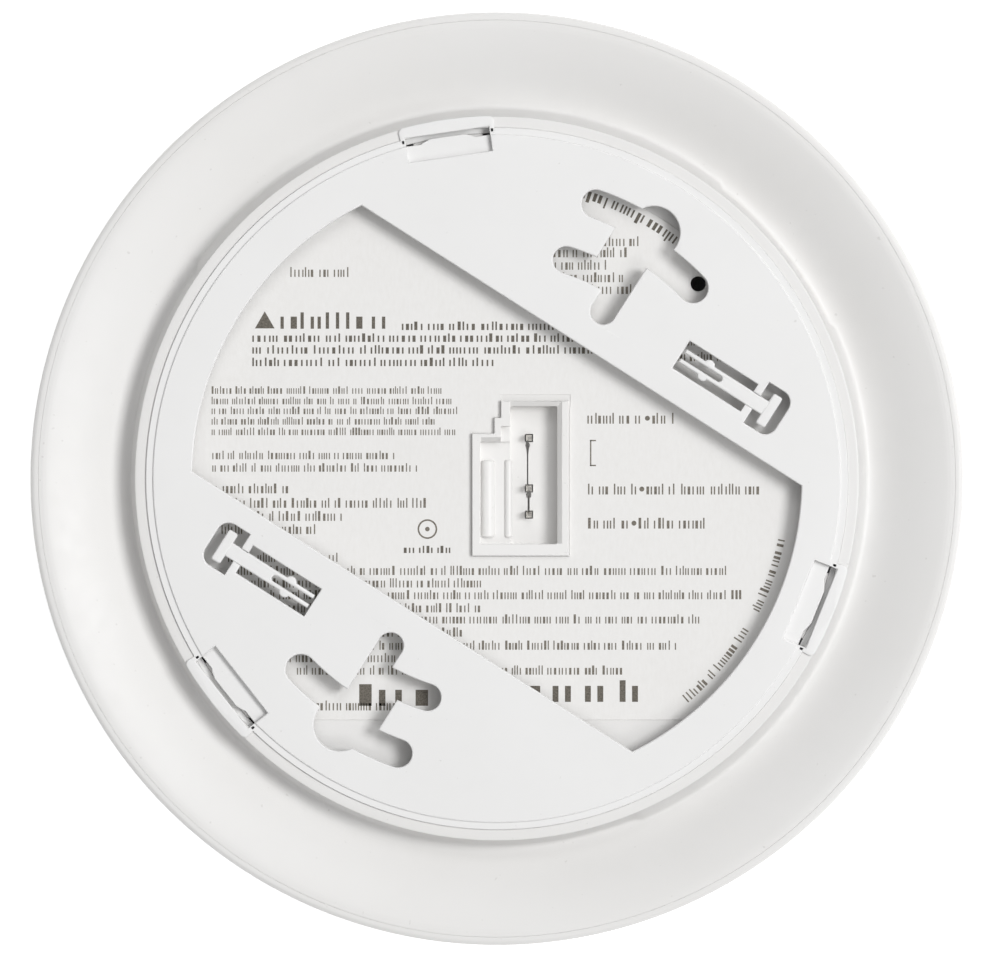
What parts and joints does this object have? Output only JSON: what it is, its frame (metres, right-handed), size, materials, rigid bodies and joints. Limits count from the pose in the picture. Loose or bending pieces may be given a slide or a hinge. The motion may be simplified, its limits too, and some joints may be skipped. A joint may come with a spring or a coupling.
{
  "type": "smoke alarm",
  "caption": "Round mains-powered smoke alarm with battery backup, seated on a twist-lock ceiling bracket with keyhole screw slots and break-out locking pins.",
  "frame": {"origin": "centre of the bracket's ceiling face", "axes": "+Z towards the ceiling along the alarm's axis, +X and +Y in the ceiling plane, with the wiring opening running 32.5 degrees below +X"},
  "size_m": [0.1422, 0.1422, 0.05],
  "materials": {
    "bracket_plastic": "fine moulded satin",
    "shell_plastic": "fine moulded satin",
    "button_plastic": "fine moulded satin",
    "label_paper": "printed matt label",
    "contact_metal": "tin plated",
    "screen_metal": "dark mesh",
    "board_laminate": "solder mask over copper",
    "insulator_plastic": "natural",
    "chamber_metal": "plated sheet",
    "source_metal": "gold faced foil",
    "horn_plastic": "moulded",
    "brass_sheet": "rolled",
    "piezo_ceramic": "fired, silvered",
    "red_lens": "clear moulded",
    "green_lens": "clear moulded",
    "clear_acrylic": "clear moulded",
    "capacitor_epoxy": "dipped",
    "capacitor_sleeve": "shrunk sleeve",
    "varistor_epoxy": "dipped",
    "chip_plastic": "moulded",
    "resistor_body": "lacquered",
    "battery_jacket": "lacquered",
    "cell_metal": "plain"
  },
  "bodies": {
    "bracket": {"mounting_bracket": "bracket_plastic", "locking_pin_a": "bracket_plastic", "locking_pin_b": "bracket_plastic"},
    "alarm": {"back_housing": "shell_plastic", "back_label": "label_paper", "power_socket": "shell_plastic", "line_pin": "contact_metal", "interconnect_pin": "contact_metal", "neutral_pin": "contact_metal", "front_cover": "shell_plastic", "insect_screen": "screen_metal", "drawer_guide": "shell_plastic", "main_board": "board_laminate", "chamber_base": "insulator_plastic", "chamber_can": "chamber_metal", "source_holder": "contact_metal", "source_foil": "source_metal", "collector_plate": "chamber_metal", "horn_body": "horn_plastic", "piezo_plate": "brass_sheet", "piezo_ceramic": "piezo_ceramic", "horn_contacts": "contact_metal", "red_led": "red_lens", "green_led": "green_lens", "light_pipes": "clear_acrylic", "film_capacitor": "capacitor_epoxy", "main_electrolytic": "capacitor_sleeve", "small_electrolytic": "capacitor_sleeve", "surge_varistor": "varistor_epoxy", "alarm_chip": "chip_plastic", "interconnect_chip": "chip_plastic", "resistors": "resistor_body", "diodes": "chip_plastic", "battery_contacts": "contact_metal", "test_contact": "contact_metal"},
    "drawer": {"battery_drawer": "shell_plastic", "battery_can": "battery_jacket", "battery_cells": "cell_metal", "battery_end_cap": "chip_plastic", "battery_terminals": "contact_metal"},
    "button": {"test_button": "button_plastic"}
  },
  "joints": [
    {"name": "alarm_twist", "type": "hinge", "parent": "bracket", "child": "alarm", "pos_m": [0, 0, 0], "axis": [0, 0, 1], "range_deg": [-14, 0]},
    {"name": "drawer_slide", "type": "slide", "parent": "alarm", "child": "drawer", "axis": [0.9272, 0.3746, 0], "range_m": [0, 0.045]},
    {"name": "test_press", "type": "slide", "parent": "alarm", "child": "button", "axis": [0, 0, 1], "range_m": [0, 0.0012], "stiffness_N_per_m": 800, "springref_m": -0.0006, "deforming": ["test_contact"]}
  ]
}
